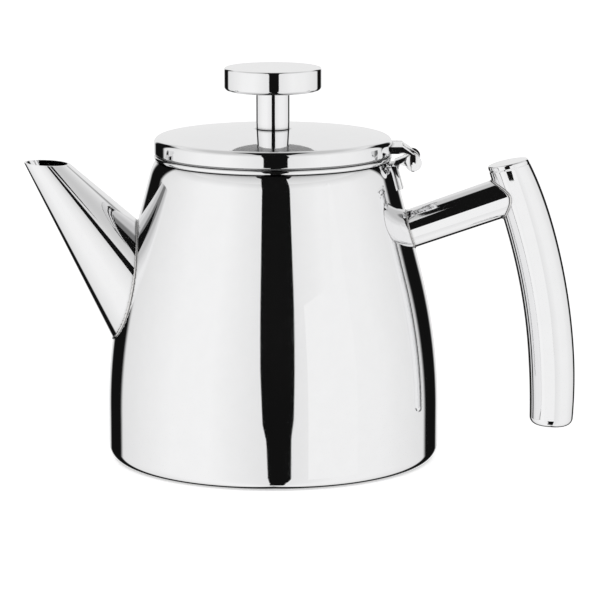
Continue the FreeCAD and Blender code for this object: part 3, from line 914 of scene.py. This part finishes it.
def make_infuser_floor():
    """Perforated disc with a plain border."""
    radius = BASKET_R - BASKET_SHEET
    thickness = top_of("infuser_floor").z - BASKET_FLOOR_Z
    pitch_u = HOLE_PITCH
    pitch_v = pitch_u * ROW_SHARE
    reach = int(radius / pitch_v) + 1
    cells = []
    for j in range(-reach, reach + 1):
        for i in range(-reach, reach + 1):
            u, v = (i + 0.5 * (j % 2)) * pitch_u, j * pitch_v
            if np.hypot(u, v) < radius - FLOOR_BORDER:
                cells.append((u, v))
    mesh = bmesh.new()
    rim = perforated(mesh, cells, pitch_u, pitch_v, lambda u, v: (u, v, BASKET_FLOOR_Z))[0]
    border = [edge for edge in mesh.edges if len(edge.link_faces) == 1 and set(edge.verts) <= rim]
    angles = np.linspace(0, 2 * np.pi, 120, endpoint=False)
    circle = [mesh.verts.new(Vector((radius * cos(a), radius * sin(a), BASKET_FLOOR_Z)) * MM) for a in angles]
    border += [mesh.edges.new((a, b)) for a, b in zip(circle, circle[1:] + circle[:1])]
    bmesh.ops.triangle_fill(mesh, edges=border, use_beauty=True)
    return thicken(mesh, "infuser_floor_perforated", thickness)


def make_infuser_rim():
    """Flange with a rolled edge, and its collar."""
    high = top_of("infuser_rim").z
    half = (high - SEAT_Z) / 2
    inner_r = BASKET_R - BASKET_SHEET
    collar_r = BASKET_R + SHEET
    low = SEAT_Z - COLLAR_H
    outline = [
        run((BASKET_R, low), (collar_r, low)),
        run((collar_r, low), (collar_r, SEAT_Z)),
        run((collar_r, SEAT_Z), (FLANGE_R - half, SEAT_Z)),
        bend((FLANGE_R - half, SEAT_Z + half), half, -90, 90, 12),
        run((FLANGE_R - half, high), (inner_r, high)),
        run((inner_r, high), (inner_r, SEAT_Z)),
        run((inner_r, SEAT_Z), (BASKET_R, SEAT_Z)),
        run((BASKET_R, SEAT_Z), (BASKET_R, low)),
    ]
    return lathe("infuser_rim_rolled", outline)


# ---------------------------------------------------------------- small pieces

def softened_copy(node, name, width, sharper_than=35):
    """A copy of a small CAD piece whose sharp edges, by their angle in degrees, are rounded."""
    mesh = bmesh.new()
    mesh.from_mesh(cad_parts[node].data)
    bmesh.ops.remove_doubles(mesh, verts=mesh.verts, dist=0.001 * MM)
    bmesh.ops.dissolve_limit(mesh, angle_limit=radians(0.5), verts=mesh.verts, edges=mesh.edges)
    sharp = [edge for edge in mesh.edges
             if edge.is_manifold and edge.calc_face_angle() > radians(sharper_than)]
    bmesh.ops.bevel(mesh, geom=sharp, offset=width * MM, segments=3, profile=0.5, affect="EDGES",
                    clamp_overlap=True)
    data = bpy.data.meshes.new(name)
    mesh.to_mesh(data)
    mesh.free()
    data.shade_smooth()
    data.set_sharp_from_angle(angle=radians(32))
    return new_object(name, data)


basket = make_basket()
infuser_floor = make_infuser_floor()
infuser_rim = make_infuser_rim()
tabs = softened_copy("infuser_tabs", "infuser_tabs_softened", 0.15)
bracket = softened_copy("hinge_bracket", "hinge_bracket_softened", 0.15)
leaf = softened_copy("hinge_leaf", "hinge_leaf_softened", 0.35, sharper_than=25)
pin = softened_copy("hinge_pin", "hinge_pin_softened", 0.12)


# ---------------------------------------------------------------- materials

class Nodes:
    """Short way to add and join shader nodes."""

    def __init__(self, tree):
        self.tree = tree
        tree.nodes.clear()

    def add(self, kind, settings=None, **inputs):
        node = self.tree.nodes.new(kind)
        for key, value in (settings or {}).items():
            setattr(node, key, value)
        for key, value in inputs.items():
            by_number = key[0] == "i" and key[1:].isdigit()
            socket = node.inputs[int(key[1:]) if by_number else key.replace("_", " ")]
            if isinstance(value, bpy.types.NodeSocket):
                self.tree.links.new(value, socket)
            else:
                socket.default_value = value
        return node

    def maths(self, operation, first, second=0.0, third=0.0):
        settings = {"operation": operation}
        return self.add("ShaderNodeMath", settings, i0=first, i1=second, i2=third).outputs[0]

    def mix(self, share, low, high):
        """Goes from the colour low to the colour high as share goes from 0 to 1."""
        return self.add("ShaderNodeMix", {"data_type": "RGBA"}, i0=share, i6=low, i7=high).outputs[2]

    def spread(self, value, low, high, new_low, new_high):
        """Takes a value from the range low to high into the range new_low to new_high."""
        return self.add("ShaderNodeMapRange", None, Value=value, From_Min=low, From_Max=high,
                        To_Min=new_low, To_Max=new_high).outputs[0]


# Painted shade: a crevice is darkened within this distance, in millimetres, of the next surface, by a dark
# colour mixed into the steel
CREVICE = 1.2
CREVICE_SHADE_COLOUR = (0.04, 0.04, 0.04, 1)
HAZE_TONE = 0.985


def brush_lines(n, place, scale, turned):
    """Fine lines round the pot's axis, or along Y if turned is False."""
    if turned:
        split = n.add("ShaderNodeSeparateXYZ", None, Vector=place)
        radius = n.maths("SQRT", n.maths("ADD", n.maths("MULTIPLY", split.outputs[0], split.outputs[0]),
                                         n.maths("MULTIPLY", split.outputs[1], split.outputs[1])))
        turn = n.maths("ARCTAN2", split.outputs[1], split.outputs[0])
        lines_at = n.add("ShaderNodeCombineXYZ", None, X=radius, Y=n.maths("MULTIPLY", turn, 0.0012),
                         Z=split.outputs[2]).outputs[0]
    else:
        lines_at = n.add("ShaderNodeMapping", None, Vector=place, Scale=(1.0, 0.06, 1.0)).outputs[0]
    return n.add("ShaderNodeTexNoise", None, Vector=lines_at, Scale=scale, Detail=5.0, Roughness=0.7)


def steel(name, colour, roughness, vary, brush, brush_scale, turned):
    """Polished or brushed steel with a faint haze, and painted shade that darkens its colour in its crevices.
    """
    material = bpy.data.materials.new(name)
    material.use_nodes = True
    n = Nodes(material.node_tree)
    place = n.add("ShaderNodeTexCoord").outputs["Object"]
    smudge = n.add("ShaderNodeTexNoise", None, Vector=place, Scale=28.0, Detail=4.0, Roughness=0.55)
    haze = n.add("ShaderNodeTexNoise", None, Vector=place, Scale=160.0, Detail=3.0, Roughness=0.6)
    lines = brush_lines(n, place, brush_scale, turned)
    rough = n.spread(smudge.outputs[0], 0.3, 0.7, roughness - vary, roughness + vary)
    rough = n.maths("ADD", rough, n.spread(haze.outputs[0], 0.35, 0.65, 0.0, vary * 0.5))
    rough = n.maths("ADD", rough, n.spread(lines.outputs[0], 0.35, 0.65, 0.0, brush * 0.15))
    hazed = (*[value * HAZE_TONE for value in colour], 1)
    tone = n.mix(n.spread(haze.outputs[0], 0.3, 0.7, 0.0, 1.0), hazed, (*colour, 1))
    # Painted shade: ambient occlusion within the crevice distance mixes a near-black colour into the steel's
    # base colour
    open_air = n.add("ShaderNodeAmbientOcclusion", {"samples": 8}, Distance=CREVICE * MM).outputs["AO"]
    painted_crevice_shade = n.mix(n.spread(open_air, 0.4, 0.95, 0.0, 1.0), CREVICE_SHADE_COLOUR, tone)
    bump = n.add("ShaderNodeBump", None, Height=lines.outputs[0], Strength=brush, Distance=0.00004)
    skin = n.add("ShaderNodeBsdfPrincipled", None, Base_Color=painted_crevice_shade, Metallic=1.0, Roughness=rough,
                 Normal=bump.outputs[0])
    n.add("ShaderNodeOutputMaterial", None, Surface=skin.outputs[0])
    return material


mirror = steel("mirror_steel", (0.93, 0.93, 0.935), 0.03, 0.012, 0.02, 2600.0, False)
mirror_turned = steel("mirror_steel_turned", (0.93, 0.93, 0.935), 0.03, 0.012, 0.03, 2600.0, True)
satin = steel("satin_steel", (0.80, 0.80, 0.81), 0.24, 0.05, 0.5, 1900.0, True)
# Painted shade: the dark base colour of the knob's underside stands in for the shade under the knob; its
# higher roughness is its satin finish
knob_under_painted_shade = steel("knob_underside_painted_shade", (0.30, 0.30, 0.30), 0.2, 0.03, 0.3, 1900.0, True)
hinge_finish = steel("hinge_steel", (0.90, 0.90, 0.905), 0.07, 0.02, 0.06, 2200.0, False)
infuser_finish = steel("infuser_steel", (0.84, 0.84, 0.85), 0.16, 0.04, 0.15, 1500.0, True)
weld_finish = steel("weld_steel", (0.82, 0.81, 0.80), 0.12, 0.04, 0.3, 900.0, False)
fastener_finish = steel("fastener_steel", (0.62, 0.62, 0.63), 0.3, 0.05, 0.3, 1500.0, True)


def finish(piece, body, material, slot, *nodes):
    """Gives a piece its finish and its body, and hides the CAD nodes it stands for."""
    piece.data.materials.clear()
    piece.data.materials.append(material)
    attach(piece, body)
    if nodes:
        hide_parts(*nodes)


finish(shell, "pot", mirror_turned, "mirror_steel", "body_shell")
finish(spout, "pot", mirror, "mirror_steel", "spout")
finish(grip, "pot", mirror, "mirror_steel", "handle_grip")
finish(grip_top, "pot", mirror, "mirror_steel", "grip_top_cap")
finish(grip_bottom, "pot", mirror, "mirror_steel", "grip_bottom_cap")
finish(arm, "pot", mirror, "mirror_steel", "handle_arm")
for weld in welds:
    finish(weld, "pot", weld_finish, "mirror_steel")
finish(liner_floor, "pot", satin, "satin_steel", "liner_floor")
finish(liner, "pot", satin, "satin_steel", "inner_liner")
finish(mouth_ring, "pot", mirror_turned, "mirror_steel", "mouth_ring")
finish(bracket, "pot", hinge_finish, "hinge_steel", "hinge_bracket")
finish(pin, "pot", hinge_finish, "hinge_steel", "hinge_pin")
finish(leaf, "lid", hinge_finish, "hinge_steel", "hinge_leaf")
finish(lid, "lid", mirror_turned, "mirror_steel", "lid_shell")
finish(lid_pan, "lid", satin, "satin_steel", "lid_underside")
finish(stem, "lid", mirror_turned, "mirror_steel", "knob_stem")
finish(knob, "lid", mirror_turned, "mirror_steel", "knob_cap")
finish(knob_floor, "lid", knob_under_painted_shade, "mirror_steel", "knob_floor")
finish(basket, "infuser", infuser_finish, "infuser_steel", "infuser_basket")
finish(infuser_floor, "infuser", infuser_finish, "infuser_steel", "infuser_floor")
finish(infuser_rim, "infuser", infuser_finish, "infuser_steel", "infuser_rim")
finish(tabs, "infuser", infuser_finish, "infuser_steel", "infuser_tabs")
for node, material in (("base_plate", satin), ("spout_duct", satin), ("knob_screw", fastener_finish),
                       ("knob_washer", fastener_finish)):
    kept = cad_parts[node]
    kept.data.materials.clear()
    kept.data.materials.append(material)


# ---------------------------------------------------------------- studio

# Brightness of the tent by azimuth, in degrees from the front towards the handle: soft boxes, and a
# backdrop with a dark gap at each side
LIGHT = [(-180, 0.84), (-163, 0.84), (-157, 0.0), (-133, 0.0), (-129, 0.8), (-75, 0.95), (-45, 0.96),
         (-8, 0.84), (16, 0.84), (45, 0.93), (80, 0.92), (129, 0.8), (133, 0.0), (157, 0.0), (163, 0.84),
         (180, 0.84)]
# How far the side gaps lean forwards, as a share of their azimuth for each degree of height
GAP_LEAN = 0.0022
GAP_LEAN_FROM = -10
UPPER_LIGHT = 0.6
ZENITH_LIGHT = 0.35
FLAG_DARK = 0.006
REFLECTOR_LIGHT = 0.94
FLOOR_R = 8.0


def make_studio():
    """A white tent with a dark gap at each side of the backdrop, and a dimmer top.

    The camera itself sees plain white.
    """
    world = bpy.data.worlds.new("studio")
    world.use_nodes = True
    bpy.context.scene.world = world
    n = Nodes(world.node_tree)
    split = n.add("ShaderNodeSeparateXYZ", None, Vector=n.add("ShaderNodeTexCoord").outputs["Generated"])
    to_front = n.maths("MULTIPLY", split.outputs[1], -1.0)
    azimuth = n.maths("DEGREES", n.maths("ARCTAN2", split.outputs[0], to_front))
    height = n.maths("DEGREES", n.maths("ARCSINE", split.outputs[2]))
    leaning = n.maths("MULTIPLY_ADD", height, GAP_LEAN, 1 - GAP_LEAN_FROM * GAP_LEAN)
    azimuth = n.maths("MULTIPLY", azimuth, leaning)
    boxes = n.add("ShaderNodeValToRGB", None, Fac=n.spread(azimuth, -180.0, 180.0, 0.0, 1.0))
    ramp = boxes.color_ramp
    for position, (angle, value) in enumerate(LIGHT):
        share = (angle + 180) / 360
        stop = ramp.elements[position] if position < 2 else ramp.elements.new(share)
        stop.position = share
        stop.color = (value, value, value, 1)
    tent = n.maths("MAXIMUM", boxes.outputs[0], n.spread(height, 28.0, 36.0, 0.0, 1.0))
    upper = n.spread(height, 22.0, 55.0, 1.0, UPPER_LIGHT)
    zenith = n.spread(height, 68.0, 74.0, 1.0, ZENITH_LIGHT)
    light = n.maths("MAXIMUM", n.maths("MULTIPLY", tent, n.maths("MULTIPLY", upper, zenith)), FLAG_DARK)
    shown = n.add("ShaderNodeLightPath").outputs["Is Camera Ray"]
    colour = n.add("ShaderNodeBackground", None, Color=(1.0, 1.0, 1.0, 1.0),
                   Strength=n.maths("MAXIMUM", light, shown))
    n.add("ShaderNodeOutputWorld", None, Surface=colour.outputs[0])


# Left and right edges of the dark gap between the soft boxes, from below the floor upwards, and of
# the gap overhead, in millimetres. The left soft box stands near, and the right one far away.
GAP_FRONT = [((-9, -120, -300), (300, -800, -4000)),
             ((-12, -280, -300), (620, -3000, -4000)),
             ((-13, -280, -54), (660, -3000, -741)),
             ((-18, -280, -36), (688, -3000, -611)),
             ((-30, -280, -14), (766, -3000, -423)),
             ((-37, -280, 48), (805, -3000, 50)),
             ((-42, -280, 161), (880, -3000, 1150)),
             ((-64, -280, 414), (900, -3000, 4100))]
GAP_ABOVE = [((-62, -280, 408), (90, -280, 408)),
             ((-95, -287, 465), (110, -287, 465)),
             ((-95, 30, 465), (110, 30, 465))]
# White reflector in front of the handle, with its top edge along the arm and above the grip
REFLECTOR = [((32, -100, -20), (118, -100, -20)),
             ((32, -100, 78), (118, -100, 111)),
             ((84, -100, 98), (118, -100, 170))]


def make_card(name, edges, strength):
    """A studio card that only mirrors see, with a left and a right corner for each of its rows."""
    mesh = bpy.data.meshes.new(name)
    points = [Vector(point) * MM for pair in edges for point in pair]
    faces = [(2 * row, 2 * row + 1, 2 * row + 3, 2 * row + 2) for row in range(len(edges) - 1)]
    mesh.from_pydata(points, [], faces)
    card = new_object(name, mesh)
    material = bpy.data.materials.new(name)
    material.use_nodes = True
    n = Nodes(material.node_tree)
    skin = n.add("ShaderNodeEmission", None, Color=(1.0, 1.0, 1.0, 1.0), Strength=strength)
    n.add("ShaderNodeOutputMaterial", None, Surface=skin.outputs[0])
    mesh.materials.append(material)
    card.visible_camera = False
    card.visible_diffuse = False
    card.visible_shadow = False


def make_floor():
    """A white floor that the steel doesn't mirror."""
    bpy.ops.mesh.primitive_circle_add(vertices=64, radius=FLOOR_R, fill_type="NGON", location=(0, 0, 0))
    floor = bpy.context.object
    floor.name = "floor"
    material = bpy.data.materials.new("floor_white")
    material.use_nodes = True
    n = Nodes(material.node_tree)
    skin = n.add("ShaderNodeBsdfPrincipled", None, Base_Color=(0.9, 0.9, 0.9, 1.0), Roughness=0.9,
                 Emission_Color=(1.0, 1.0, 1.0, 1.0), Emission_Strength=0.55)
    n.add("ShaderNodeOutputMaterial", None, Surface=skin.outputs[0])
    floor.data.materials.append(material)
    floor.visible_glossy = False


def make_camera():
    """A long lens in front of the pot, a little above it and to the right."""
    camera = bpy.data.objects.new("camera", bpy.data.cameras.new("camera"))
    bpy.context.scene.collection.objects.link(camera)
    camera.location = (0.0113, -1.169, 0.2733)
    camera.rotation_euler = (radians(90 - 10.625), 0, 0)
    camera.data.angle = radians(10.43)
    camera.data.clip_start = 0.05
    bpy.context.scene.camera = camera


make_studio()
make_card("front_gap", GAP_FRONT, FLAG_DARK)
make_card("top_gap", GAP_ABOVE, FLAG_DARK)
make_card("reflector", REFLECTOR, REFLECTOR_LIGHT)
make_floor()
make_camera()
bpy.context.scene.view_settings.view_transform = "Standard"
